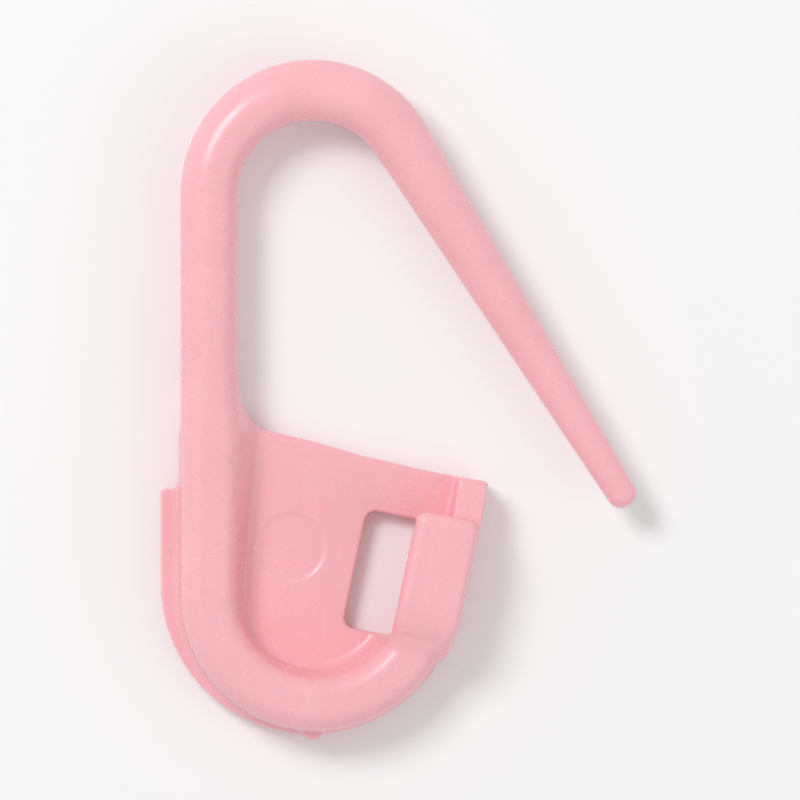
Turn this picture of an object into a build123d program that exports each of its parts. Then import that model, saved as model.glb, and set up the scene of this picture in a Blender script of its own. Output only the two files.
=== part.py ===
from build123d import *
from math import cos, radians, sin, sqrt
import os

# Locking stitch marker, moulded in one shot and modelled zone by zone.
# The origin is the centre of the head's round end, on the flat back face.
# +Y runs up the leg to the bend, +X from the leg to the open pin, +Z out of the front.

# Head plate
head_radius = 4.9
plate_thickness = 0.8
back_bevel = 0.25
flange_width = 0.575
flange_top = 3.1
leg_root_height = 5.2
leg_flare = 0.7
leg_root_rise = 0.9
top_edge_bow = 0.2

# Leg and bend, round in section
leg_diameter = 1.85
leg_root_run = 1.0
leg_root_corner = 0.5
leg_top = 12.7
crown_width = 2.0
bend_radius = 3.4
bar_height = 1.6

# Front rim, the raised edge that carries the leg on round the head
rim_inset = 0.45
rim_crest_width = 1.65
rim_base_width = 2.0
rim_root_width = 2.5
rim_drop = 0.3
rim_outer_round = 0.7
rim_inner_round = 0.45

# Catch along the slanted side of the head
catch_slant = 12.0
catch_foot = 1.25
catch_side = 4.35
wall_thickness = 0.95
channel_height = 1.5
horn_reach = 1.5
horn_round = 1.2
lead_in_drop = 0.5

# Lip over the channel
lip_reach = 1.2
lip_thickness = 0.8
lip_top_end = 3.1
lip_inset = 0.1
lip_ramp = 0.8
lip_corner = 0.3
lip_round = 0.22

# Window through the plate, under the lip
window_width = 2.4
window_length = 3.9
window_wall_gap = 0.25
window_foot_gap = 0.1
window_corner = 0.35

# Pin, tapered to a rounded tip
pin_angle = 32.0
pin_length = 14.1
pin_tip_diameter = 0.95
pivot_run = 1.8

# Moulding marks
gate_radius = 0.42
gate_proud = 0.17
gate_height = 0.9
ejector_radius = 1.1
ejector_depth = 0.05
ejector_rise = 1.2

overrun = 0.5

# Angles round the bend where its zones meet, from the pin side's +X
crown_start = 100.0
shoulder_start = 72.0
shoulder_end = 48.0

# Places worked out from the sizes
leg_radius = leg_diameter / 2
leg_outer = flange_width - head_radius
leg_inner = leg_outer + leg_diameter
leg_offset = -leg_outer - leg_radius
head_top = leg_root_height + leg_root_rise
rim_outer_radius = head_radius - rim_inset
rim_top = bar_height + leg_radius
rim_centre = (leg_outer + rim_outer_radius, -rim_drop)
bend_centre = (bend_radius - leg_offset, leg_top)
wall_inner = head_radius - wall_thickness
lip_inner = wall_inner - lip_reach
lip_base = plate_thickness + channel_height
lip_top = lip_base + lip_thickness
slant = radians(catch_slant)
side_x = (cos(slant), -sin(slant))
side_y = (sin(slant), cos(slant))


def on_side(across, along):
    """Point of the head given square to, and along, its slanted side."""
    return (
        across * side_x[0] + along * side_y[0],
        across * side_x[1] + along * side_y[1],
    )


def side_plane(height):
    """Plane parallel to the plate, turned to the slanted side."""
    return Plane(origin=(0, 0, height), x_dir=(*side_x, 0), z_dir=(0, 0, 1))


def upright_plane(across):
    """Upright plane along the slanted side: X runs along it, Y runs up."""
    return Plane(
        origin=(across * side_x[0], across * side_x[1], 0),
        x_dir=(*side_y, 0),
        z_dir=(*side_x, 0),
    )


def pocket_outline(base_width, root_width):
    """Closed outline of the pocket inside the rim, for a rim of that width."""
    inner_radius = rim_outer_radius - base_width
    pocket_left = (rim_centre[0] - inner_radius, rim_centre[1])
    pocket_right = (rim_centre[0] + inner_radius, rim_centre[1])
    pocket_top = head_top + overrun
    Line((leg_outer + root_width, pocket_top), pocket_left)
    ThreePointArc(pocket_left, (rim_centre[0], rim_centre[1] - inner_radius), pocket_right)
    Line(pocket_right, (pocket_right[0], pocket_top))
    Line((pocket_right[0], pocket_top), (leg_outer + root_width, pocket_top))


def bend_point(angle):
    """Point of the bend's centreline circle."""
    turn = radians(angle)
    return (
        bend_centre[0] + bend_radius * cos(turn),
        bend_centre[1] + bend_radius * sin(turn),
    )


def bend_width(angle):
    """In-plane width of the bend, widest at the crown."""
    rise = max(sin(radians(angle)), 0)
    return leg_diameter + (crown_width - leg_diameter) * rise**2


def bend_section(angle):
    """Plane square to the bend, its X pointing out from the bend's centre."""
    turn = radians(angle)
    return Plane(
        origin=(*bend_point(angle), bar_height),
        x_dir=(cos(turn), sin(turn), 0),
        z_dir=(sin(turn), -cos(turn), 0),
    )


def bend_zone(start, end, label):
    """One stretch of the bend, swept between its two end sections."""
    with BuildPart() as zone:
        with BuildLine() as centreline:
            ThreePointArc(
                (*bend_point(start), bar_height),
                (*bend_point((start + end) / 2), bar_height),
                (*bend_point(end), bar_height),
            )
        with BuildSketch(bend_section(start)):
            Ellipse(bend_width(start) / 2, leg_radius)
        with BuildSketch(bend_section(end)):
            Ellipse(bend_width(end) / 2, leg_radius)
        sweep(path=centreline.line, multisection=True)
    zone.part.label = label
    return zone.part


os.makedirs("parts", exist_ok=True)

# Outline of the plate: a D with a flange beside the leg and a horn at the catch corner
side_tangent = on_side(head_radius, 0)
side_corner = on_side(head_radius, catch_side)
horn_foot = (side_corner[0] - horn_reach, side_corner[1])
leg_root = (leg_inner, leg_root_height)
top_edge_middle = (
    (horn_foot[0] + leg_root[0]) / 2,
    (horn_foot[1] + leg_root[1]) / 2 + top_edge_bow,
)

# Back plate, with the window that the pin's tip lies over when it is locked
with BuildPart() as back_plate:
    with BuildSketch() as plate_outline:
        with BuildLine():
            Line((leg_outer, flange_top), (-head_radius, flange_top))
            Line((-head_radius, flange_top), (-head_radius, 0))
            ThreePointArc((-head_radius, 0), (0, -head_radius), side_tangent)
            Line(side_tangent, side_corner)
            Line(side_corner, horn_foot)
            ThreePointArc(horn_foot, top_edge_middle, leg_root)
            Line(leg_root, (leg_inner, head_top))
            Line((leg_inner, head_top), (leg_outer, head_top))
            Line((leg_outer, head_top), (leg_outer, flange_top))
        make_face()
        fillet(plate_outline.vertices().sort_by_distance(leg_root)[0], leg_flare)
        fillet(plate_outline.vertices().sort_by_distance(horn_foot)[0], horn_round)
    extrude(amount=plate_thickness)
    chamfer(back_plate.faces().sort_by(Axis.Z)[0].edges().sort_by(Axis.Y)[:-1], back_bevel)
    with BuildSketch(side_plane(-overrun)):
        with Locations(
            (
                wall_inner - window_wall_gap - window_width / 2,
                window_length / 2 + window_foot_gap - catch_foot,
            )
        ):
            RectangleRounded(window_width, window_length, window_corner)
    extrude(amount=plate_thickness + 2 * overrun, mode=Mode.SUBTRACT)
    panel_middle = (leg_inner + on_side(wall_inner - window_wall_gap - window_width, 0)[0]) / 2
    with BuildSketch(Plane.XY.offset(plate_thickness - ejector_depth)):
        with Locations((panel_middle, ejector_rise)):
            Circle(ejector_radius)
    extrude(amount=ejector_depth + overrun, mode=Mode.SUBTRACT)
back_plate.part.label = "back_plate"
export_step(back_plate.part, "parts/back_plate.step")

# Front rim, from the foot of the leg round the D to the foot of the catch
with BuildPart() as front_rim:
    with BuildSketch(Plane.XY.offset(plate_thickness)):
        with BuildLine():
            rim_right = (rim_centre[0] + rim_outer_radius, rim_centre[1])
            Line((leg_outer, head_top), (leg_outer, rim_centre[1]))
            ThreePointArc(
                (leg_outer, rim_centre[1]),
                (rim_centre[0], rim_centre[1] - rim_outer_radius),
                rim_right,
            )
            Line(rim_right, (rim_right[0], head_top))
            Line((rim_right[0], head_top), (leg_outer, head_top))
        make_face()
        add(plate_outline.sketch_local, mode=Mode.INTERSECT)
    extrude(amount=rim_top - plate_thickness)
    with BuildSketch(Plane.XY.offset(plate_thickness)):
        with BuildLine():
            pocket_outline(rim_base_width, rim_root_width)
        make_face()
    with BuildSketch(Plane.XY.offset(rim_top)):
        with BuildLine():
            pocket_outline(rim_crest_width, rim_crest_width)
        make_face()
    loft(ruled=True, mode=Mode.SUBTRACT)
    with BuildSketch(side_plane(plate_thickness - overrun)):
        with Locations((head_radius, head_radius - catch_foot)):
            Rectangle(2 * head_radius, 2 * head_radius)
    extrude(amount=rim_top + overrun, mode=Mode.SUBTRACT)
    crest_arcs = front_rim.faces().sort_by(Axis.Z)[-1].edges().filter_by(GeomType.CIRCLE)
    fillet(crest_arcs.sort_by(SortBy.RADIUS)[-1], rim_outer_round)
    crest_arcs = front_rim.faces().sort_by(Axis.Z)[-1].edges().filter_by(GeomType.CIRCLE)
    fillet(crest_arcs.sort_by(SortBy.RADIUS)[0], rim_inner_round)
    with BuildSketch(Plane.XY.offset(plate_thickness)):
        with Locations((0, gate_radius - head_radius - gate_proud)):
            Circle(gate_radius)
    extrude(amount=gate_height)
front_rim.part.label = "front_rim"
export_step(front_rim.part, "parts/front_rim.step")

# Catch wall, the stop that the locked pin springs out against, with a lead-in at its open end
wall_toe = sqrt(head_radius**2 - catch_foot**2)
wall_end = (side_corner[1] + wall_inner * sin(slant)) / cos(slant)
with BuildPart() as catch_wall:
    with BuildSketch(side_plane(plate_thickness)):
        with BuildLine():
            Line((wall_inner, -catch_foot), (wall_inner, wall_end))
            Line((wall_inner, wall_end), (head_radius, catch_side))
            Line((head_radius, catch_side), (head_radius, 0))
            RadiusArc((head_radius, 0), (wall_toe, -catch_foot), head_radius)
            Line((wall_toe, -catch_foot), (wall_inner, -catch_foot))
        make_face()
    extrude(amount=channel_height)
    with BuildSketch(upright_plane(wall_inner - overrun)):
        with BuildLine():
            Line((lip_top_end, lip_base), (catch_side, lip_base))
            Line((catch_side, lip_base), (catch_side, lip_base - lead_in_drop))
            Line((catch_side, lip_base - lead_in_drop), (lip_top_end, lip_base))
        make_face()
    extrude(amount=wall_thickness + 2 * overrun, mode=Mode.SUBTRACT)
catch_wall.part.label = "catch_wall"
export_step(catch_wall.part, "parts/catch_wall.step")

# Lip, which roofs the channel and keeps the locked pin from lifting
lip_outer = head_radius - lip_inset
lip_toe = sqrt(lip_outer**2 - catch_foot**2)
with BuildPart() as catch_lip:
    with BuildSketch(side_plane(lip_base)):
        with BuildLine():
            Line((lip_inner, -catch_foot), (lip_inner, lip_top_end))
            Line((lip_inner, lip_top_end), (lip_outer, lip_top_end))
            Line((lip_outer, lip_top_end), (lip_outer, 0))
            RadiusArc((lip_outer, 0), (lip_toe, -catch_foot), lip_outer)
            Line((lip_toe, -catch_foot), (lip_inner, -catch_foot))
        make_face()
    extrude(amount=lip_thickness)
    with BuildSketch(upright_plane(lip_inner - overrun)):
        with BuildLine():
            Line((-catch_foot, rim_top), (lip_ramp - catch_foot, lip_top))
            Line((lip_ramp - catch_foot, lip_top), (-catch_foot, lip_top))
            Line((-catch_foot, lip_top), (-catch_foot, rim_top))
        make_face()
    extrude(amount=lip_reach + wall_thickness + 2 * overrun, mode=Mode.SUBTRACT)
    inner_corners = catch_lip.edges().filter_by(Axis.Z).sort_by(Axis((0, 0, 0), (*side_x, 0)))[:2]
    fillet(inner_corners.sort_by(Axis.Y)[-1], lip_corner)
    fillet(catch_lip.faces().filter_by(Axis.Z).sort_by(Axis.Z)[-1].edges(), lip_round)
catch_lip.part.label = "catch_lip"
export_step(catch_lip.part, "parts/catch_lip.step")

# Leg, which starts as deep as the head and soon turns into a round bar
with BuildPart() as leg:
    with BuildSketch(Plane.XZ.offset(-head_top)):
        with Locations((-leg_offset, rim_top / 2)):
            RectangleRounded(leg_diameter, rim_top, leg_root_corner)
    with BuildSketch(Plane.XZ.offset(-head_top - leg_root_run)):
        with Locations((-leg_offset, bar_height)):
            Circle(leg_radius)
    loft()
    extrude(leg.faces().sort_by(Axis.Y)[-1], amount=leg_top - head_top - leg_root_run)
leg.part.label = "leg"
export_step(leg.part, "parts/leg.step")

# Bend, in the four zones that flex or turn apart as the pin is closed
bend_leg_side = bend_zone(180, crown_start, "bend_leg_side")
export_step(bend_leg_side, "parts/bend_leg_side.step")
bend_crown = bend_zone(crown_start, shoulder_start, "bend_crown")
export_step(bend_crown, "parts/bend_crown.step")
bend_shoulder = bend_zone(shoulder_start, shoulder_end, "bend_shoulder")
export_step(bend_shoulder, "parts/bend_shoulder.step")
bend_pin_side = bend_zone(shoulder_end, pin_angle, "bend_pin_side")
export_step(bend_pin_side, "parts/bend_pin_side.step")

# Pin, turned on its own centreline
pin_root = Vector(*bend_point(pin_angle), bar_height)
pin_way = Vector(sin(radians(pin_angle)), -cos(radians(pin_angle)), 0)
tip_radius = pin_tip_diameter / 2
with BuildPart() as pin:
    with BuildSketch(Plane(origin=pin_root, x_dir=pin_way, z_dir=(0, 0, 1))):
        with BuildLine():
            Line((0, 0), (0, bend_width(pin_angle) / 2))
            Line((0, bend_width(pin_angle) / 2), (pin_length - tip_radius, tip_radius))
            RadiusArc((pin_length - tip_radius, tip_radius), (pin_length, 0), tip_radius)
            Line((pin_length, 0), (0, 0))
        make_face()
    revolve(axis=Axis(pin_root, pin_way))
pin.part.label = "pin"
export_step(pin.part, "parts/pin.step")

# The pin swings and drops about this point of its own line, inside the bend
pivot = pin_root - pin_way * pivot_run
print(f"pivot {pivot.X:.4f} {pivot.Y:.4f} {pivot.Z:.4f}, pin way {pin_way.X:.6f} {pin_way.Y:.6f}")
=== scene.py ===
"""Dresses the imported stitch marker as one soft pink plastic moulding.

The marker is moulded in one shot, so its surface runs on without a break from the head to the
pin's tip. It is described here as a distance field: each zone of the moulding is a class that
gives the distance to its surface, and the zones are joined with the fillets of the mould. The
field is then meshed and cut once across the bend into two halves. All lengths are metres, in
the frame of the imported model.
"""

import logging
import math
from dataclasses import dataclass
from enum import Enum

import bmesh
import bpy
import numpy as np
from mathutils import Matrix, Vector


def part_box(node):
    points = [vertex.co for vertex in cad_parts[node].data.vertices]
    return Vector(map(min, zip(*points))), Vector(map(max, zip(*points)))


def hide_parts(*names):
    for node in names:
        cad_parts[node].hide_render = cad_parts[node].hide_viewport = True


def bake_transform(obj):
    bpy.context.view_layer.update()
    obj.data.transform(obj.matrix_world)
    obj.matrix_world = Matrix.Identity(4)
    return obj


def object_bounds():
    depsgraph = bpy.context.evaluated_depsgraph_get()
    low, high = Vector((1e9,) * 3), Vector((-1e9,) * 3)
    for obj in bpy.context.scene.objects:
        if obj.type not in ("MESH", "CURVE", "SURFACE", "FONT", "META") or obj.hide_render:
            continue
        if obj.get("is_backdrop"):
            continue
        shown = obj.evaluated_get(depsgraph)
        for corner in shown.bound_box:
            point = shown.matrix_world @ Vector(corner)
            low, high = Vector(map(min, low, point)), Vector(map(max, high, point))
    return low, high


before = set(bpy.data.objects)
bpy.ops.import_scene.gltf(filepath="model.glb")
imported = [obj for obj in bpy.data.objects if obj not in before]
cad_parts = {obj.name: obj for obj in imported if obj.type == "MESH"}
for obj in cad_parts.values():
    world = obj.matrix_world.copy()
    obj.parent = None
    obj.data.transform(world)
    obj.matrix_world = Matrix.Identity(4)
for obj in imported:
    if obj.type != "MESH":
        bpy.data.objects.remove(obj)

LOG = logging.getLogger("stitch_marker")
MM = 0.001
PLACE = "mould_place"
SEAM = "away_from_seam"
MIX_COLOUR_INPUTS = (6, 7)
MIX_COLOUR_OUTPUT = 2


class Half(Enum):
    """The two halves that the moulding is cut into, by the names of their pieces."""

    HEAD = "moulding_head_and_leg"
    PIN = "moulding_bend_and_pin"


def rounded_cut(first: np.ndarray, second: np.ndarray, radius: float) -> np.ndarray:
    """Keeps what lies inside both fields, with the edge between them rounded.

    Args:
        first: Distances to the first surface, negative inside.
        second: Distances to the second surface.
        radius: Radius of the rounded edge.

    Returns:
        Distances to the common shape.
    """
    over_first = np.maximum(first + radius, 0.0)
    over_second = np.maximum(second + radius, 0.0)
    return np.minimum(np.maximum(first, second), -radius) + np.hypot(over_first, over_second)


def filleted_join(first: np.ndarray, second: np.ndarray, radius: float) -> np.ndarray:
    """Joins two fields, with a fillet in the corner between them.

    Args:
        first: Distances to the first surface, negative inside.
        second: Distances to the second surface.
        radius: Radius of the fillet.

    Returns:
        Distances to the joined shape.
    """
    under_first = np.maximum(radius - first, 0.0)
    under_second = np.maximum(radius - second, 0.0)
    return np.maximum(np.minimum(first, second), radius) - np.hypot(under_first, under_second)


def ramp(value: np.ndarray, start: float, end: float) -> np.ndarray:
    """Goes smoothly from 0 at start to 1 at end.

    Args:
        value: Places along the ramp.
        start: Where it begins.
        end: Where it is complete.

    Returns:
        Shares from 0 to 1.
    """
    share = np.clip((value - start) / (end - start), 0.0, 1.0)
    return share * share * (3.0 - 2.0 * share)


@dataclass(frozen=True)
class CatchSide:
    """Slanted side of the head, which the catch's wall stands along.

    Attributes:
        slant: Angle of the side to the leg.
        wall_inner: Inner face of the wall, as a place across the side.
    """

    slant: float = math.radians(12.0)
    wall_inner: float = 3.95 * MM

    def split(self, points: np.ndarray) -> tuple[np.ndarray, np.ndarray]:
        """Turns points into places across and along the slanted side.

        Args:
            points: Points in the frame, one row each.

        Returns:
            The places across the side and the places along it.
        """
        x, y = points[:, 0], points[:, 1]
        cosine, sine = math.cos(self.slant), math.sin(self.slant)
        return x * cosine - y * sine, x * sine + y * cosine


@dataclass
class HeadPlate:
    """Flat D plate with its flange, horn, window and bevelled back.

    Attributes:
        radius: Radius of the D.
        thickness: Thickness of the plate.
        leg_edge: Outer side of the leg, as a distance left of the origin.
        leg_inner: Inner side of the leg, counted the same way.
        head_top: Top end of the plate, where it tapers off under the leg.
        leg_run: How far the outline runs on under the leg past that end.
        leg_lift: Rise of the slope under the leg's root, per length along the leg.
    """

    radius: float
    thickness: float
    leg_edge: float
    leg_inner: float
    head_top: float
    flange_top: float = 3.1 * MM
    leg_root: float = 5.2 * MM
    leg_flare: float = 0.7 * MM
    leg_run: float = 1.3 * MM
    leg_lift: float = 0.675
    side_top: float = 4.35 * MM
    horn_reach: float = 1.5 * MM
    horn_round: float = 1.2 * MM
    top_edge_bow: float = 0.2 * MM
    leg_tuck: float = 0.3 * MM
    corner_round: float = 0.14 * MM
    back_bevel: float = 0.25 * MM
    edge_round: float = 0.08 * MM
    window_width: float = 2.4 * MM
    window_length: float = 3.9 * MM
    window_wall_gap: float = 0.25 * MM
    window_foot: float = -1.15 * MM
    window_corner: float = 0.35 * MM

    @classmethod
    def from_frame(cls) -> "HeadPlate":
        """Reads the plate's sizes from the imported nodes."""
        low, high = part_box("back_plate")
        leg_low, leg_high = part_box("leg")
        return cls(
            radius=-low.x,
            thickness=high.z,
            leg_edge=-leg_low.x,
            leg_inner=-leg_high.x,
            head_top=high.y,
        )

    def outline(self, points: np.ndarray, side: CatchSide) -> np.ndarray:
        """Gives the distance to the plate's outline, seen from the front.

        Args:
            points: Points in the frame, one row each.
            side: The slanted side.

        Returns:
            Distances, negative inside the outline.
        """
        x, y = points[:, 0], points[:, 1]
        across, along = side.split(points)
        disc = np.hypot(x, y) - self.radius
        left = np.where(y < 0, disc, -x - self.radius)
        right = np.where(along < 0, disc, across - self.radius)
        flange = rounded_cut(left, y - self.flange_top, self.corner_round)
        under_leg = np.maximum(self.leg_tuck - x - self.leg_edge, self.corner_round - y)
        sides = np.where(x < 0, filleted_join(flange, under_leg, self.corner_round), right)
        return rounded_cut(sides, self.top_edge(points, side), self.corner_round)

    def top_edge(self, points: np.ndarray, side: CatchSide) -> np.ndarray:
        """Gives the distance past the bowed top edge, with the flat horn and the leg's root.

        Args:
            points: Points in the frame, one row each.
            side: The slanted side.

        Returns:
            Distances, negative below the edge.
        """
        x, y = points[:, 0], points[:, 1]
        corner_x = self.radius * math.cos(side.slant) + self.side_top * math.sin(side.slant)
        horn_y = self.side_top * math.cos(side.slant) - self.radius * math.sin(side.slant)
        horn_foot = np.array((corner_x - self.horn_reach, horn_y))
        leg_foot = np.array((-self.leg_inner, self.leg_root))
        chord = horn_foot - leg_foot
        outward = np.array((-chord[1], chord[0])) / np.linalg.norm(chord)
        bow = self.top_edge_bow * outward[1]
        bow_radius = (chord @ chord / 4 + bow**2) / (2 * bow)
        centre = (horn_foot + leg_foot) / 2 + outward * (bow - bow_radius)
        arc = np.hypot(x - centre[0], y - centre[1]) - bow_radius
        edge = filleted_join(arc, np.maximum(y - horn_y, corner_x / 2 - x), self.horn_round)
        under_leg = np.maximum(x + self.leg_inner, y - self.head_top - self.leg_run)
        return filleted_join(edge, under_leg, self.leg_flare)

    def leg_underside(self, points: np.ndarray) -> np.ndarray:
        """Gives the distance past the slope on which the leg's root rises off the table.

        Args:
            points: Points in the frame, one row each.

        Returns:
            Distances, negative above the slope.
        """
        rise = (points[:, 1] - self.head_top) * self.leg_lift
        return (rise - points[:, 2]) / math.hypot(1.0, self.leg_lift)

    def window(self, points: np.ndarray, side: CatchSide) -> np.ndarray:
        """Gives the distance to the window's walls, negative inside the hole.

        Args:
            points: Points in the frame, one row each.
            side: The slanted side.

        Returns:
            Distances to the upright walls of the window.
        """
        across, along = side.split(points)
        half_width, half_length = self.window_width / 2, self.window_length / 2
        middle = side.wall_inner - self.window_wall_gap - half_width
        over_width = np.abs(across - middle) - half_width
        over_length = np.abs(along - self.window_foot - half_length) - half_length
        return rounded_cut(over_width, over_length, self.window_corner)


@dataclass
class FrontRim:
    """Raised rim that carries the leg on round the D.

    Attributes:
        outer_radius: Outer radius of the rim round the D.
        top: Height of the rim's crest.
        leg_edge: Outer side of the leg, left of the origin.
    """

    outer_radius: float
    top: float
    leg_edge: float
    inset: float = 0.45 * MM
    drop: float = 0.3 * MM
    foot_round: float = 0.12 * MM
    outer_round: float = 0.7 * MM
    inner_round: float = 0.5 * MM
    crest_inner: float = 2.8 * MM
    base_low: float = 2.45 * MM
    base_high: float = 1.95 * MM
    base_spread_end: float = 5.2 * MM
    bottom: float = 0.4 * MM
    end_overlap: float = 0.2 * MM

    @classmethod
    def from_frame(cls, head_radius: float) -> "FrontRim":
        """Reads the rim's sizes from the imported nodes.

        Args:
            head_radius: Radius of the D that the rim is set in from.

        Returns:
            The rim.
        """
        _, rim_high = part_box("front_rim")
        leg_low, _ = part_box("leg")
        return cls(outer_radius=head_radius - cls.inset, top=rim_high.z, leg_edge=-leg_low.x)

    def distance(self, points: np.ndarray, plate_top: float) -> np.ndarray:
        """Gives the distance to the rim, which runs on up the leg without an end.

        Args:
            points: Points in the frame, one row each.
            plate_top: Height of the panel that the rim stands on.

        Returns:
            Distances, negative inside the rim.
        """
        x, y, z = points.T
        centre_x = self.outer_radius - self.leg_edge
        below = np.hypot(x - centre_x, y + self.drop)
        reach = np.where((y > -self.drop) & (x < centre_x), centre_x - x, below)
        base = self.base_low + (self.base_high - self.base_low) * ramp(
            y, -self.drop, self.base_spread_end
        )
        run = self.crest_inner - base
        height = self.top - plate_top
        lean = height / np.hypot(run, height)
        inner = (base + run * (z - plate_top) / height - reach) * lean
        outer = rounded_cut(reach - self.outer_radius, z - self.top, self.outer_round)
        section = rounded_cut(outer, inner, self.inner_round)
        return rounded_cut(section, self.bottom - z, self.foot_round)


@dataclass
class SpringBar:
    """Round bar of the leg, the bend and the tapered pin.

    Attributes:
        leg_offset: Distance of the leg's centreline left of the origin.
        leg_radius: Radius of the leg.
        height: Height of the centreline above the back face.
        leg_top: Where the leg ends and the bend begins.
        bend_radius: Radius of the bend's centreline.
    """

    leg_offset: float
    leg_radius: float
    height: float
    leg_top: float
    bend_radius: float
    crown_width: float = 2.0 * MM
    pin_angle: float = math.radians(32.0)
    pin_length: float = 14.1 * MM
    tip_radius: float = 0.475 * MM
    tip_round: float = 0.46 * MM
    seam_angle: float = math.radians(70.0)
    seam_reach: float = 1.6 * MM

    @classmethod
    def from_frame(cls) -> "SpringBar":
        """Reads the bar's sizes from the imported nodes."""
        low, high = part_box("leg")
        _, crown_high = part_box("bend_crown")
        leg_offset = -(low.x + high.x) / 2
        leg_radius = (high.x - low.x) / 2
        return cls(
            leg_offset=leg_offset,
            leg_radius=leg_radius,
            height=high.z - leg_radius,
            leg_top=high.y,
            bend_radius=crown_high.y - high.y - cls.crown_width / 2,
        )

    @property
    def bend_centre(self) -> np.ndarray:
        """Centre of the bend, on the bar's centreline height."""
        return np.array((self.bend_radius - self.leg_offset, self.leg_top, self.height))

    @property
    def pin_way(self) -> np.ndarray:
        """Direction of the open pin, from the bend to its tip."""
        return np.array((math.sin(self.pin_angle), -math.cos(self.pin_angle), 0.0))

    @property
    def seam_way(self) -> np.ndarray:
        """Direction from the bend's centre to the seam between the two halves."""
        return np.array((math.cos(self.seam_angle), math.sin(self.seam_angle), 0.0))

    @property
    def seam_normal(self) -> np.ndarray:
        """Direction round the bend at the seam, towards the pin."""
        return np.array((math.sin(self.seam_angle), -math.cos(self.seam_angle), 0.0))

    def half_width(self, turn: np.ndarray | float) -> np.ndarray | float:
        """Gives half of the bend's width, which is widest at the crown.

        Args:
            turn: Angles round the bend.

        Returns:
            Half widths in the plane of the marker.
        """
        return self.leg_radius + (self.crown_width / 2 - self.leg_radius) * np.sin(turn) ** 2

    def distance(self, points: np.ndarray) -> np.ndarray:
        """Gives the distance to the bar, which runs on down the leg without an end.

        Args:
            points: Points in the frame, one row each.

        Returns:
            Distances, negative inside the bar.
        """
        centre = self.bend_centre
        x, y, z = (points - centre).T
        turn = np.arctan2(y, x)
        root = self.bend_radius * np.array((math.cos(self.pin_angle), math.sin(self.pin_angle)))
        along_pin = (x - root[0]) * self.pin_way[0] + (y - root[1]) * self.pin_way[1]
        off_pin = (y - root[1]) * self.pin_way[0] - (x - root[0]) * self.pin_way[1]
        off_bend = np.hypot(x, y) - self.bend_radius
        off_leg = -x - self.bend_radius

        bend_half = self.half_width(np.clip(turn, self.pin_angle, math.pi))
        root_half = self.half_width(self.pin_angle)
        share = np.clip(along_pin / self.pin_length, 0.0, 1.0)
        pin_half = root_half + (self.tip_radius - root_half) * share
        pin_depth = self.leg_radius + (self.tip_radius - self.leg_radius) * share

        leg = oval_distance(off_leg, z, self.leg_radius, self.leg_radius)
        bend = oval_distance(off_bend, z, bend_half, self.leg_radius)
        pin = oval_distance(off_pin, z, pin_half, pin_depth)
        pin = rounded_cut(pin, along_pin - self.pin_length, self.tip_round)
        above = (y > 0) & (turn > self.pin_angle)
        beside = np.where(x < 0, leg, pin)
        return np.where(above, bend, beside)


def oval_distance(
    across: np.ndarray, up: np.ndarray, half_width: np.ndarray, half_height: np.ndarray
) -> np.ndarray:
    """Gives the distance to an oval section, close to the true one near its edge.

    Args:
        across: Places across the section, from its centre.
        up: Places up the section.
        half_width: Half of the oval's width.
        half_height: Half of its height.

    Returns:
        Distances, negative inside the oval.
    """
    tiny = 1e-9
    level = np.hypot(across / half_width, up / half_height)
    slope = np.hypot(across / half_width**2, up / half_height**2)
    return (level - 1.0) * (level + tiny) / (slope + tiny / half_height)


@dataclass
class Catch:
    """Wall along the slanted side and the lip over the channel.

    Attributes:
        lip_base: Height of the channel's roof.
        lip_top: Height of the lip's top.
    """

    lip_base: float
    lip_top: float
    lip_inner: float = 2.75 * MM
    foot: float = -1.25 * MM
    lip_end: float = 3.1 * MM
    lead_in_end: float = 4.35 * MM
    lead_in_drop: float = 0.5 * MM
    lip_inset: float = 0.1 * MM
    foot_overlap: float = 0.3 * MM
    ramp_length: float = 0.8 * MM
    ramp_height: float = 0.575 * MM
    edge_round: float = 0.12 * MM
    lip_round: float = 0.3 * MM
    ramp_round: float = 0.35 * MM
    lip_under_round: float = 0.1 * MM
    lip_corner: float = 0.35 * MM
    channel_fillet: float = 0.2 * MM

    @classmethod
    def from_frame(cls) -> "Catch":
        """Reads the lip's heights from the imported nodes."""
        low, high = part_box("catch_lip")
        return cls(lip_base=low.z, lip_top=high.z)

    def wall(self, points: np.ndarray, side: CatchSide) -> np.ndarray:
        """Gives the distance to the wall, open towards the outside.

        Args:
            points: Points in the frame, one row each.
            side: The slanted side.

        Returns:
            Distances, negative inside the wall.
        """
        across, along = side.split(points)
        fall = self.lead_in_drop * ramp(along, self.lip_end, self.lead_in_end)
        top = points[:, 2] - self.lip_base + fall
        inner = rounded_cut(side.wall_inner - across, top, self.edge_round)
        return rounded_cut(inner, self.foot - self.foot_overlap - along, self.lip_corner)

    def lip(self, points: np.ndarray, side: CatchSide, outline: np.ndarray) -> np.ndarray:
        """Gives the distance to the lip.

        Args:
            points: Points in the frame, one row each.
            side: The slanted side.
            outline: Distances to the plate's outline.

        Returns:
            Distances, negative inside the lip.
        """
        across, along = side.split(points)
        z = points[:, 2]
        tip = rounded_cut(self.lip_inner - across, along - self.lip_end, self.lip_corner)
        ends = rounded_cut(tip, self.foot - self.foot_overlap - along, self.lip_corner)
        plan = rounded_cut(ends, outline + self.lip_inset, self.lip_corner)
        slope = self.ramp_height / self.ramp_length
        climb = self.lip_top - self.ramp_height + (along - self.foot) * slope
        ramped = rounded_cut(z - self.lip_top, (z - climb) / math.hypot(1.0, slope), self.ramp_round)
        crowned = rounded_cut(plan, ramped, self.lip_round)
        return rounded_cut(crowned, self.lip_base - z, self.lip_under_round)


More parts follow.
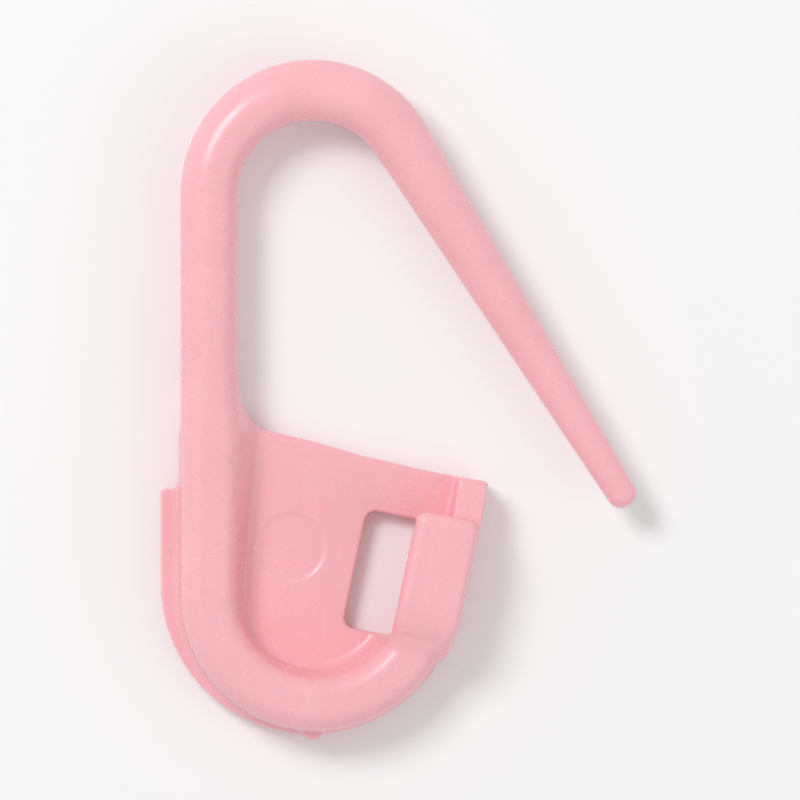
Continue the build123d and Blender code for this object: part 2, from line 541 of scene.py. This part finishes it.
@dataclass
class MouldMarks:
    """What the mould leaves on the part: gate stub, ejector mark and shrinkage.

    Attributes:
        head_radius: Radius of the D, at whose lowest point the gate sits.
    """

    head_radius: float
    gate_radius: float = 0.42 * MM
    gate_proud: float = 0.17 * MM
    gate_low: float = 0.35 * MM
    gate_high: float = 1.55 * MM
    gate_round: float = 0.16 * MM
    gate_fillet: float = 0.15 * MM
    ejector_x: float = -0.65 * MM
    ejector_y: float = 1.2 * MM
    ejector_radius: float = 1.1 * MM
    ejector_depth: float = 0.05 * MM
    ejector_wall: float = 0.09 * MM
    sink_depth: float = 0.035 * MM
    sink_width: float = 0.9 * MM
    sink_share: float = 0.25

    def gate(self, points: np.ndarray) -> np.ndarray:
        """Gives the distance to the broken gate stub.

        Args:
            points: Points in the frame, one row each.

        Returns:
            Distances, negative inside the stub.
        """
        x, y, z = points.T
        centre_y = self.gate_radius - self.head_radius - self.gate_proud
        post = np.hypot(x, y - centre_y) - self.gate_radius
        half = (self.gate_high - self.gate_low) / 2
        level = np.abs(z - self.gate_low - half) - half
        return rounded_cut(post, level, self.gate_round)

    def ejector(self, points: np.ndarray) -> np.ndarray:
        """Gives how far the panel is pressed in by the round mark of the ejector.

        Args:
            points: Points in the frame, one row each.

        Returns:
            Depths of the mark.
        """
        disc = np.hypot(points[:, 0] - self.ejector_x, points[:, 1] - self.ejector_y)
        past = disc - self.ejector_radius
        return self.ejector_depth * (1.0 - ramp(past, -self.ejector_wall, self.ejector_wall))

    def back_sink(self, reach: np.ndarray) -> np.ndarray:
        """Gives how far the back face has sunk behind the thick rim.

        Args:
            reach: Distances from the middle of the rim's track.

        Returns:
            Depths of the sink.
        """
        return self.sink_depth * np.exp(-((reach / self.sink_width) ** 2))


@dataclass
class SurfaceMesh:
    """Points and four-sided faces of a meshed surface."""

    points: np.ndarray
    faces: np.ndarray


@dataclass
class MarkerField:
    """The whole moulding as one distance field, with the mould's fillets.

    Attributes:
        plate: The D plate.
        rim: The raised rim.
        bar: Leg, bend and pin.
        catch: Wall and lip.
        marks: Marks of the mould.
    """

    plate: HeadPlate
    rim: FrontRim
    bar: SpringBar
    catch: Catch
    marks: MouldMarks
    side: CatchSide = CatchSide()
    rim_fillet: float = 0.28 * MM
    foot_fillet: float = 0.15 * MM
    leg_side: float = 1.2 * MM
    morph_start: float = 4.6 * MM
    morph_end: float = 7.3 * MM
    window_cut_top: float = 1.5 * MM
    window_edge: float = 0.1 * MM
    cell: float = 0.055 * MM
    block: int = 4
    near_share: float = 1.5
    margin: float = 0.3 * MM
    settle_rounds: int = 3
    least_steepness: float = 0.25
    probe: float = 0.01 * MM

    @classmethod
    def from_frame(cls) -> "MarkerField":
        """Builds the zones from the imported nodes."""
        plate = HeadPlate.from_frame()
        return cls(
            plate=plate,
            rim=FrontRim.from_frame(plate.radius),
            bar=SpringBar.from_frame(),
            catch=Catch.from_frame(),
            marks=MouldMarks(head_radius=plate.radius),
        )

    def spine(self, points: np.ndarray) -> np.ndarray:
        """Gives the distance to the rim, leg, bend and pin as one bar.

        Args:
            points: Points in the frame, one row each.

        Returns:
            Distances, negative inside.
        """
        x, y, _ = points.T
        bar = self.bar.distance(points)
        rim = self.rim.distance(points, self.plate.thickness)
        _, along = self.side.split(points)
        rim_end = np.minimum(along - self.catch.foot - self.rim.end_overlap, x + self.leg_side)
        rim = rounded_cut(rim, rim_end, self.rim.foot_round)
        share = ramp(y, self.morph_start, self.morph_end)
        return np.where(x < 0, share * bar + (1.0 - share) * rim, np.minimum(bar, rim))

    def distance(self, points: np.ndarray) -> np.ndarray:
        """Gives the distance to the whole moulding.

        Args:
            points: Points in the frame, one row each.

        Returns:
            Distances, negative inside the plastic.
        """
        x, y, z = points.T
        outline = self.plate.outline(points, self.side)
        wall = self.catch.wall(points, self.side)
        lip = self.catch.lip(points, self.side, outline)
        panel = z - self.plate.thickness + self.marks.ejector(points)
        front = filleted_join(panel, wall, self.foot_fillet)
        front = filleted_join(front, lip, self.catch.channel_fillet)
        sink_radius = self.plate.radius - self.rim.outer_radius * self.marks.sink_share
        reach = np.hypot(x, y) - sink_radius
        back = self.marks.back_sink(reach) - z
        bevel = (outline - z + self.plate.back_bevel) * math.sqrt(0.5)
        under = np.maximum(np.maximum(back, bevel), self.plate.leg_underside(points))
        edge = rounded_cut(outline, under, self.plate.edge_round)
        head = rounded_cut(edge, front, self.plate.edge_round)
        whole = filleted_join(head, self.spine(points), self.rim_fillet)
        whole = np.maximum(whole, np.maximum(back, -z))
        window = np.maximum(self.plate.window(points, self.side), z - self.window_cut_top)
        whole = rounded_cut(whole, -window, self.window_edge)
        return filleted_join(whole, self.marks.gate(points), self.marks.gate_fillet)

    def slope(self, points: np.ndarray) -> np.ndarray:
        """Gives the direction in which the distance grows at each point.

        Args:
            points: Points in the frame, one row each.

        Returns:
            Gradients, one row each, close to unit length.
        """
        slopes = np.empty_like(points)
        for axis in range(3):
            step = np.zeros(3)
            step[axis] = self.probe
            ahead, behind = self.distance(points + step), self.distance(points - step)
            slopes[:, axis] = (ahead - behind) / (2 * self.probe)
        return slopes

    def normals(self, points: np.ndarray) -> np.ndarray:
        """Gives the unit normals of the surface at points on it."""
        slopes = self.slope(points)
        return slopes / np.linalg.norm(slopes, axis=1, keepdims=True)

    def surface(self, low: Vector, high: Vector) -> SurfaceMesh:
        """Meshes the field's surface with one point per crossed cell.

        Args:
            low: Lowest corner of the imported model.
            high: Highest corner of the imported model.

        Returns:
            The surface, with every point settled onto the field's zero.
        """
        start = np.array(low) - self.margin
        span = np.array(high) + self.margin - start
        blocks = np.ceil(span / (self.cell * self.block)).astype(int)
        mesh = crossed_cells(self.sampled(start, blocks), start, self.cell)
        for _ in range(self.settle_rounds):
            mesh.points = self.settled(evened(mesh))
        mesh.points = self.settled(mesh.points)
        return mesh

    def sampled(self, start: np.ndarray, blocks: np.ndarray) -> np.ndarray:
        """Measures the field on a grid, point by point only in the blocks near the surface.

        Args:
            start: Place of the grid's first corner.
            blocks: Number of blocks along each axis.

        Returns:
            Distances on the grid. A block away from the surface has its middle's distance.
        """
        steps = np.stack(np.meshgrid(*[np.arange(self.block)] * 3, indexing="ij"), axis=-1)
        corners = np.stack(np.meshgrid(*[np.arange(n) for n in blocks], indexing="ij"), axis=-1)
        corners = corners.reshape(-1, 3) * self.block
        half = (self.block - 1) / 2
        middles = self.distance(start + (corners + half) * self.cell)
        near = np.abs(middles) < self.near_share * math.sqrt(3) * half * self.cell
        values = np.empty((len(corners), self.block**3))
        values[:] = middles[:, None]
        close = corners[near][:, None, :] + steps.reshape(-1, 3)
        distances = self.distance(start + close.reshape(-1, 3) * self.cell)
        values[near] = distances.reshape(-1, self.block**3)
        grid = values.reshape(*blocks, *[self.block] * 3).transpose(0, 3, 1, 4, 2, 5)
        return grid.reshape(blocks * self.block)

    def settled(self, points: np.ndarray) -> np.ndarray:
        """Moves points onto the field's zero along its slope.

        Args:
            points: Points near the surface, one row each.

        Returns:
            Points on the surface.
        """
        slopes = self.slope(points)
        steepness = np.maximum((slopes**2).sum(axis=1), self.least_steepness)
        shift = np.clip(self.distance(points) / steepness, -self.cell, self.cell)
        return points - slopes * shift[:, None]


def crossed_cells(values: np.ndarray, start: np.ndarray, cell: float) -> SurfaceMesh:
    """Puts one point in each grid cell that the surface crosses, and joins them.

    Args:
        values: Distances on the grid.
        start: Place of the grid's first corner.
        cell: Edge of a grid cell.

    Returns:
        The surface as four-sided faces that point outward.
    """
    inside = values < 0
    corners = [(i, j, k) for i in (0, 1) for j in (0, 1) for k in (0, 1)]
    shape = np.array(values.shape) - 1
    total = np.zeros(shape, dtype=np.int8)
    for i, j, k in corners:
        total += inside[i : i + shape[0], j : j + shape[1], k : k + shape[2]]
    crossed = np.argwhere((total > 0) & (total < len(corners)))
    numbers = np.full(shape, -1, dtype=np.int64)
    numbers[tuple(crossed.T)] = np.arange(len(crossed))

    places = np.zeros((len(crossed), 3))
    found = np.zeros(len(crossed))
    for first in corners:
        for axis in range(3):
            if first[axis]:
                continue
            second = list(first)
            second[axis] = 1
            here = values[tuple((crossed + first).T)]
            there = values[tuple((crossed + second).T)]
            change = (here < 0) != (there < 0)
            share = np.where(change, here / np.where(change, here - there, 1.0), 0.0)
            place = np.array(first, dtype=float) + share[:, None] * np.eye(3)[axis]
            places += np.where(change[:, None], place, 0.0)
            found += change
    points = start + cell * (crossed + places / found[:, None])

    faces = []
    for axis in range(3):
        ahead = np.moveaxis(inside, axis, 0)
        change = ahead[1:] != ahead[:-1]
        edges = np.argwhere(change)
        leaving = ahead[:-1][tuple(edges.T)]
        inner = (edges[:, 1] > 0) & (edges[:, 2] > 0)
        edges, leaving = edges[inner], leaving[inner]
        around = [(0, -1, -1), (0, 0, -1), (0, 0, 0), (0, -1, 0)]
        cells = np.moveaxis(numbers, axis, 0)
        quads = np.stack([cells[tuple((edges + step).T)] for step in around], axis=1)
        flip = leaving if axis != 1 else ~leaving
        quads[~flip] = quads[~flip][:, ::-1]
        faces.append(quads)
    return SurfaceMesh(points=points, faces=np.concatenate(faces))


def evened(mesh: SurfaceMesh) -> np.ndarray:
    """Moves each point halfway to the middle of its neighbours.

    Args:
        mesh: The surface.

    Returns:
        The moved points.
    """
    totals = np.zeros_like(mesh.points)
    counts = np.zeros(len(mesh.points))
    for step in range(4):
        here, there = mesh.faces[:, step], mesh.faces[:, (step + 1) % 4]
        np.add.at(totals, here, mesh.points[there])
        np.add.at(totals, there, mesh.points[here])
        np.add.at(counts, here, 1)
        np.add.at(counts, there, 1)
    return (mesh.points + totals / counts[:, None]) / 2


@dataclass(frozen=True)
class Pattern:
    """A noise over the rest place, and the levels that it is mapped to.

    Attributes:
        scale: Bumps per millimetre.
        detail: Number of finer layers.
        roughness: Strength of the finer layers.
        span: Lowest and highest value of the noise that is mapped.
        levels: What these become.
    """

    scale: float
    detail: float
    roughness: float
    span: tuple[float, float] = (0.0, 1.0)
    levels: tuple[float, float] = (0.0, 1.0)


class NodeSheet:
    """Short calls for building a material's node tree."""

    def __init__(self, material: bpy.types.Material) -> None:
        """Starts from the material's own tree, with its shader."""
        material.use_nodes = True
        self.tree = material.node_tree
        self.shader = self.tree.nodes["Principled BSDF"]

    def add(self, kind: str, **settings: object) -> bpy.types.Node:
        """Adds a node and sets its properties.

        Args:
            kind: Blender's name for the node type.
            **settings: Properties of the node.

        Returns:
            The new node.
        """
        node = self.tree.nodes.new(kind)
        for name, value in settings.items():
            setattr(node, name, value)
        return node

    def link(self, source: bpy.types.NodeSocket, target: bpy.types.NodeSocket) -> None:
        """Joins an output to an input."""
        self.tree.links.new(source, target)

    def feed(self, target: bpy.types.NodeSocket, value: object) -> None:
        """Gives an input its value.

        Args:
            target: The input.
            value: An output to link, or a number or colour to set.
        """
        if isinstance(value, bpy.types.NodeSocket):
            self.link(value, target)
        elif isinstance(value, tuple):
            target.default_value = (*value, 1.0)
        else:
            target.default_value = value

    def place(self) -> bpy.types.NodeSocket:
        """Gives each point's place at rest, in millimetres."""
        return self.add("ShaderNodeAttribute", attribute_name=PLACE).outputs["Vector"]

    def noise(self, place: bpy.types.NodeSocket, pattern: Pattern) -> bpy.types.NodeSocket:
        """Adds a pattern's noise, as it is.

        Args:
            place: The place that the noise follows.
            pattern: The pattern.

        Returns:
            The noise's value.
        """
        node = self.add("ShaderNodeTexNoise")
        node.inputs["Scale"].default_value = pattern.scale
        node.inputs["Detail"].default_value = pattern.detail
        node.inputs["Roughness"].default_value = pattern.roughness
        self.link(place, node.inputs["Vector"])
        return node.outputs["Fac"]

    def levels(self, place: bpy.types.NodeSocket, pattern: Pattern) -> bpy.types.NodeSocket:
        """Adds a pattern's noise, mapped to its levels.

        Args:
            place: The place that the noise follows.
            pattern: The pattern.

        Returns:
            The mapped value.
        """
        return self.spread(self.noise(place, pattern), pattern.span, pattern.levels)

    def spread(
        self, value: bpy.types.NodeSocket, source: tuple[float, float], target: tuple[float, float]
    ) -> bpy.types.NodeSocket:
        """Maps a range of values to another, clamped.

        Args:
            value: The value to map.
            source: Lowest and highest value that is mapped.
            target: What these become.

        Returns:
            The mapped value.
        """
        node = self.add("ShaderNodeMapRange", interpolation_type="SMOOTHSTEP")
        node.inputs["From Min"].default_value, node.inputs["From Max"].default_value = source
        node.inputs["To Min"].default_value, node.inputs["To Max"].default_value = target
        self.link(value, node.inputs["Value"])
        return node.outputs["Result"]

    def calculate(self, operation: str, first: object, second: object) -> bpy.types.NodeSocket:
        """Adds a sum of two values.

        Args:
            operation: Blender's name for the sum.
            first: A socket or a number.
            second: A socket or a number.

        Returns:
            The result.
        """
        node = self.add("ShaderNodeMath", operation=operation)
        self.feed(node.inputs[0], first)
        self.feed(node.inputs[1], second)
        return node.outputs["Value"]

    def mix(
        self, share: bpy.types.NodeSocket, first: object, second: object
    ) -> bpy.types.NodeSocket:
        """Mixes two colours.

        Args:
            share: How much of the second colour shows.
            first: A socket or a colour.
            second: A socket or a colour.

        Returns:
            The mixed colour.
        """
        node = self.add("ShaderNodeMix", data_type="RGBA")
        self.link(share, node.inputs["Factor"])
        for number, value in zip(MIX_COLOUR_INPUTS, (first, second)):
            self.feed(node.inputs[number], value)
        return node.outputs[MIX_COLOUR_OUTPUT]

    def bump(
        self, height: bpy.types.NodeSocket, depth: float, below: bpy.types.NodeSocket | None = None
    ) -> bpy.types.NodeSocket:
        """Turns a height into a bumped normal.

        Args:
            height: Height from 0 to 1.
            depth: What a height of 1 measures.
            below: A bumped normal that this one adds to.

        Returns:
            The normal.
        """
        node = self.add("ShaderNodeBump")
        node.inputs["Distance"].default_value = depth
        self.link(height, node.inputs["Height"])
        if below is not None:
            self.link(below, node.inputs["Normal"])
        return node.outputs["Normal"]


@dataclass(frozen=True)
class SoftPlastic:
    """Slightly see-through, satin plastic straight from the mould.

    Attributes:
        gate: Place where the melt entered, in millimetres.
        pigment: Linear colour of the thick plastic.
        streak_reach: Distances from the gate, in millimetres, over which the streaks fade.
    """

    gate: tuple[float, float, float]
    pigment: tuple[float, float, float] = (0.96, 0.485, 0.535)
    deep_share: float = 0.86
    pale_lift: float = 0.22
    ior: float = 1.49
    scatter_weight: float = 0.3
    scatter_scale: float = 0.3 * MM
    scatter_radius: tuple[float, float, float] = (1.0, 0.42, 0.36)
    clouds: Pattern = Pattern(0.35, 2.0, 0.45, span=(0.3, 0.7), levels=(0.0, 0.28))
    streaks: Pattern = Pattern(0.9, 3.0, 0.5, span=(0.5, 0.78))
    streak_stretch: tuple[float, float, float] = (2.2, 0.35, 0.8)
    streak_reach: tuple[float, float] = (1.0, 9.0)
    streak_strength: tuple[float, float] = (0.30, 0.08)
    speck_scale: float = 1.3
    speck_edge: tuple[float, float] = (0.035, 0.06)
    speck_strength: tuple[float, float] = (0.22, 0.0)
    smudges: Pattern = Pattern(0.8, 4.0, 0.6, span=(0.35, 0.68), levels=(0.22, 0.34))
    scuffs: Pattern = Pattern(5.0, 2.0, 0.5, span=(0.4, 0.75), levels=(0.0, 0.05))
    grain: Pattern = Pattern(7.0, 2.0, 0.5)
    grain_depth: float = 0.0012 * MM
    waves: Pattern = Pattern(0.9, 1.0, 0.4)
    wave_depth: float = 0.006 * MM

    def build(self) -> bpy.types.Material:
        """Builds the material.

        Returns:
            The material, ready to assign.
        """
        material = bpy.data.materials.new("satin_moulded_plastic")
        sheet = NodeSheet(material)
        place = sheet.place()
        sheet.link(self.tint(sheet, place), sheet.shader.inputs["Base Color"])
        sheet.link(self.gloss(sheet, place), sheet.shader.inputs["Roughness"])
        sheet.link(self.relief(sheet, place), sheet.shader.inputs["Normal"])
        seam = sheet.add("ShaderNodeAttribute", attribute_name=SEAM).outputs["Fac"]
        weight = sheet.calculate("MULTIPLY", seam, self.scatter_weight)
        sheet.link(weight, sheet.shader.inputs["Subsurface Weight"])
        sheet.shader.inputs["Subsurface Radius"].default_value = self.scatter_radius
        sheet.shader.inputs["Subsurface Scale"].default_value = self.scatter_scale
        sheet.shader.inputs["IOR"].default_value = self.ior
        return material

    def tint(self, sheet: NodeSheet, place: bpy.types.NodeSocket) -> bpy.types.NodeSocket:
        """Colours the plastic, with clouded pigment and pale streaks from the gate.

        Args:
            sheet: The material's nodes.
            place: Rest place, in millimetres.

        Returns:
            The colour.
        """
        deep = tuple(channel * self.deep_share for channel in self.pigment)
        pale = tuple(channel + (1.0 - channel) * self.pale_lift for channel in self.pigment)
        clouded = sheet.mix(sheet.levels(place, self.clouds), self.pigment, deep)
        away = sheet.add("ShaderNodeVectorMath", operation="DISTANCE")
        sheet.link(place, away.inputs[0])
        away.inputs[1].default_value = self.gate
        stretch = sheet.add("ShaderNodeVectorMath", operation="MULTIPLY")
        sheet.link(place, stretch.inputs[0])
        stretch.inputs[1].default_value = self.streak_stretch
        streaks = sheet.levels(stretch.outputs[0], self.streaks)
        near = sheet.spread(away.outputs["Value"], self.streak_reach, self.streak_strength)
        streaked = sheet.mix(sheet.calculate("MULTIPLY", streaks, near), clouded, pale)
        specks = sheet.add("ShaderNodeTexVoronoi")
        specks.inputs["Scale"].default_value = self.speck_scale
        sheet.link(place, specks.inputs["Vector"])
        dots = sheet.spread(specks.outputs["Distance"], self.speck_edge, self.speck_strength)
        return sheet.mix(dots, streaked, deep)

    def gloss(self, sheet: NodeSheet, place: bpy.types.NodeSocket) -> bpy.types.NodeSocket:
        """Sets the satin roughness, with smudges and fine scuffs.

        Args:
            sheet: The material's nodes.
            place: Rest place, in millimetres.

        Returns:
            The roughness.
        """
        smudges = sheet.levels(place, self.smudges)
        return sheet.calculate("ADD", smudges, sheet.levels(place, self.scuffs))

    def relief(self, sheet: NodeSheet, place: bpy.types.NodeSocket) -> bpy.types.NodeSocket:
        """Raises the slow waves and the fine grain that the mould leaves.

        Args:
            sheet: The material's nodes.
            place: Rest place, in millimetres.

        Returns:
            The bumped normal.
        """
        grain = sheet.bump(sheet.noise(place, self.grain), self.grain_depth)
        return sheet.bump(sheet.noise(place, self.waves), self.wave_depth, grain)


@dataclass(frozen=True)
class BendSpan:
    """Stretch of the bend over which the moulding turns from one body to the next.

    Attributes:
        slant: Direction of the turn, up from the pin's side.
        start: Where it begins, from the bend's centre.
        end: Where it is complete.
    """

    slant: float
    start: float
    end: float

    def ends(self, centre: np.ndarray) -> tuple[tuple[float, ...], tuple[float, ...]]:
        """Gives the two ends of the stretch.

        Args:
            centre: Centre of the bend.

        Returns:
            The place where the turn begins and the place where it is complete.
        """
        way = np.array((math.cos(self.slant), math.sin(self.slant), 0.0))
        return tuple(centre + way * self.start), tuple(centre + way * self.end)


@dataclass
class MarkerSkin:
    """The marker's moulded surface, in the two halves that its bend joins.

    Attributes:
        field: The moulding's distance field.
        plastic: Its finish.
        drop: Where the head turns to the shoulder, clear of the D and done at the seam.
        swing: Where the shoulder turns to the pin, begun at the seam.
    """

    field: MarkerField
    plastic: SoftPlastic
    drop: BendSpan = BendSpan(math.radians(42.3), -1.75 * MM, 2.11 * MM)
    swing: BendSpan = BendSpan(math.radians(-32.8), -0.53 * MM, 3.26 * MM)

    def build(self) -> list[bpy.types.Object]:
        """Meshes the moulding and cuts it across the bend.

        Returns:
            The half with the head, then the half with the pin.
        """
        low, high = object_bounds()
        surface = self.field.surface(low, high)
        LOG.info("moulding meshed: %d points, %d faces", len(surface.points), len(surface.faces))
        return [self.cut(surface, half) for half in Half]

    def cut(self, surface: SurfaceMesh, half: Half) -> bpy.types.Object:
        """Makes the object for one side of the seam.

        Args:
            surface: The whole surface.
            half: The half that is kept.

        Returns:
            The new object, with exact normals and its rest place stored.
        """
        bar = self.field.bar
        mesh = bpy.data.meshes.new(half.value)
        mesh.from_pydata(surface.points.tolist(), [], surface.faces.tolist())
        work = bmesh.new()
        work.from_mesh(mesh)
        centre = Vector(bar.bend_centre)
        normal = Vector(bar.seam_normal)
        near_bend = [v for v in work.verts if v.co.y > bar.leg_top and v.co.x > centre.x]
        geometry = near_bend + list({e for v in near_bend for e in v.link_edges})
        geometry += list({f for v in near_bend for f in v.link_faces})
        bmesh.ops.bisect_plane(work, geom=geometry, plane_co=centre, plane_no=normal, dist=0.0)
        surplus = [f for f in work.faces if self.half_at(f.calc_center_median()) is not half]
        bmesh.ops.delete(work, geom=surplus, context="FACES")
        work.to_mesh(mesh)
        work.free()
        self.finish_mesh(mesh)
        piece = bpy.data.objects.new(half.value, mesh)
        bpy.context.scene.collection.objects.link(piece)
        LOG.info("%s: %d faces", half.value, len(mesh.polygons))
        return piece

    def half_at(self, place: Vector) -> Half:
        """Tells which half a place on the surface belongs to.

        Args:
            place: The place.

        Returns:
            The pin's half past the seam, round the bend and down the pin, or else the head's.
        """
        bar = self.field.bar
        middle = place - Vector(bar.bend_centre)
        way = Vector(bar.pin_way)
        root = Vector((math.cos(bar.pin_angle), math.sin(bar.pin_angle), 0.0)) * bar.bend_radius
        off_pin = (middle - root).cross(way).z
        on_pin_side = middle.x > 0 and (middle.y > 0 or abs(off_pin) < bar.crown_width)
        past_seam = middle.dot(Vector(bar.seam_normal)) > 0
        return Half.PIN if on_pin_side and past_seam else Half.HEAD

    def finish_mesh(self, mesh: bpy.types.Mesh) -> None:
        """Gives the mesh its exact normals and the attributes that its finish reads.

        Args:
            mesh: The mesh of one half.
        """
        count = len(mesh.vertices)
        places = np.empty(count * 3)
        mesh.vertices.foreach_get("co", places)
        places = places.reshape(-1, 3)
        bar = self.field.bar
        stored = mesh.attributes.new(PLACE, "FLOAT_VECTOR", "POINT")
        stored.data.foreach_set("vector", (places / MM).astype(np.float32).ravel())
        from_seam = np.abs((places - bar.bend_centre) @ bar.seam_normal)
        beside = (places - bar.bend_centre) @ bar.seam_way
        fade = np.where(beside > 0, ramp(from_seam, 0.0, bar.seam_reach), 1.0)
        seam = mesh.attributes.new(SEAM, "FLOAT", "POINT")
        seam.data.foreach_set("value", fade.astype(np.float32))
        mesh.shade_smooth()
        mesh.normals_split_custom_set_from_vertices(self.field.normals(places).tolist())

    def dress(self, pieces: list[bpy.types.Object]) -> None:
        """Gives both halves their finish, hides the imported parts and bakes each half's transform.

        Args:
            pieces: The half with the head, then the half with the pin.
        """
        material = self.plastic.build()
        centre = self.field.bar.bend_centre
        head, pin = pieces
        for piece in pieces:
            piece.data.materials.append(material)
        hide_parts("back_plate", "front_rim", "catch_wall", "catch_lip")
        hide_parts("leg", "bend_leg_side", "bend_crown", "bend_shoulder")
        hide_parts("bend_pin_side", "pin")
        start, end = self.drop.ends(centre)
        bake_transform(head)
        start, end = self.swing.ends(centre)
        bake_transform(pin)


@dataclass(frozen=True)
class PaperWhite:
    """Plain pale floor that shows as white, with the marker's shadow on it."""

    colour: tuple[float, float, float] = (0.92, 0.92, 0.92)
    roughness: float = 0.85
    gloss: float = 0.1

    def build(self) -> bpy.types.Material:
        """Builds the floor's material."""
        material = bpy.data.materials.new("pale_floor")
        sheet = NodeSheet(material)
        sheet.shader.inputs["Base Color"].default_value = (*self.colour, 1.0)
        sheet.shader.inputs["Roughness"].default_value = self.roughness
        sheet.shader.inputs["Specular IOR Level"].default_value = self.gloss
        return material


@dataclass(frozen=True)
class SoftLamp:
    """Soft square lamp that points at the marker.

    Attributes:
        name: Name of the lamp.
        away: Where it hangs, from the marker's middle.
        size: Edge of its face.
        power: Its power in watts.
    """

    name: str
    away: tuple[float, float, float]
    size: float
    power: float

    def hang(self, middle: Vector) -> None:
        """Hangs the lamp.

        Args:
            middle: Middle of the marker.
        """
        data = bpy.data.lights.new(self.name, "AREA")
        data.size = self.size
        data.energy = self.power
        place = middle + Vector(self.away)
        lamp = bpy.data.objects.new(self.name, data)
        lamp.location = place
        lamp.rotation_euler = (middle - place).to_track_quat("-Z", "Y").to_euler()
        bpy.context.scene.collection.objects.link(lamp)


@dataclass
class Studio:
    """Floor, soft lights and the camera over the marker.

    Attributes:
        low: Lowest corner of the marker.
        high: Highest corner of the marker.
    """

    low: Vector
    high: Vector
    floor_size: float = 1.2
    sky_strength: float = 0.60
    key: SoftLamp = SoftLamp("key_lamp", (-0.16, 0.14, 0.26), size=0.11, power=0.50)
    fill: SoftLamp = SoftLamp("fill_lamp", (0.20, -0.10, 0.18), size=0.22, power=0.12)
    camera_height: float = 0.30
    camera_left: float = 0.027
    camera_up: float = 0.007
    fill_share: float = 0.85
    clip_share: float = 0.01
    sensor: float = 0.036

    def build(self) -> None:
        """Lays the floor, hangs the lamps and sets the camera."""
        self.lay_floor()
        self.light_sky()
        middle = (self.low + self.high) / 2
        self.key.hang(middle)
        self.fill.hang(middle)
        self.set_camera(middle)

    def lay_floor(self) -> None:
        """Lays the plain floor under the marker's back face."""
        half = self.floor_size / 2
        mesh = bpy.data.meshes.new("floor")
        corners = [(-half, -half), (half, -half), (half, half), (-half, half)]
        mesh.from_pydata([(x, y, self.low.z) for x, y in corners], [], [(0, 1, 2, 3)])
        floor = bpy.data.objects.new("floor", mesh)
        bpy.context.scene.collection.objects.link(floor)
        mesh.materials.append(PaperWhite().build())
        floor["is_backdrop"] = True

    def light_sky(self) -> None:
        """Sets the even light that comes from all round."""
        world = bpy.data.worlds.new("soft_sky")
        world.use_nodes = True
        background = world.node_tree.nodes["Background"]
        background.inputs["Color"].default_value = (1.0, 1.0, 1.0, 1.0)
        background.inputs["Strength"].default_value = self.sky_strength
        bpy.context.scene.world = world

    def set_camera(self, middle: Vector) -> None:
        """Sets the long-lensed camera that looks down, a little from the left.

        Args:
            middle: Middle of the marker.
        """
        data = bpy.data.cameras.new("camera")
        data.sensor_width = self.sensor / MM
        height = self.high.y - self.low.y
        frame_height = height / self.fill_share
        place = middle + Vector((-self.camera_left, self.camera_up, self.camera_height))
        distance = (place - middle).length
        data.lens = self.sensor / MM * distance / frame_height
        data.clip_start = self.camera_height * self.clip_share
        camera = bpy.data.objects.new("camera", data)
        backward = (place - middle).normalized()
        right = Vector((0.0, 1.0, 0.0)).cross(backward).normalized()
        turn = Matrix((right, backward.cross(right), backward)).transposed()
        camera.matrix_world = Matrix.Translation(place) @ turn.to_4x4()
        bpy.context.scene.collection.objects.link(camera)
        bpy.context.scene.camera = camera


def main() -> None:
    """Builds and dresses the marker, then its studio."""
    logging.basicConfig(level=logging.INFO, format="%(message)s")
    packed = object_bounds()
    bpy.context.scene.view_settings.view_transform = "Standard"
    field = MarkerField.from_frame()
    plastic = SoftPlastic(gate=(0.0, -field.plate.radius / MM, field.plate.thickness / MM))
    skin = MarkerSkin(field, plastic)
    skin.dress(skin.build())
    Studio(*packed).build()


if __name__ == "__main__":
    main()
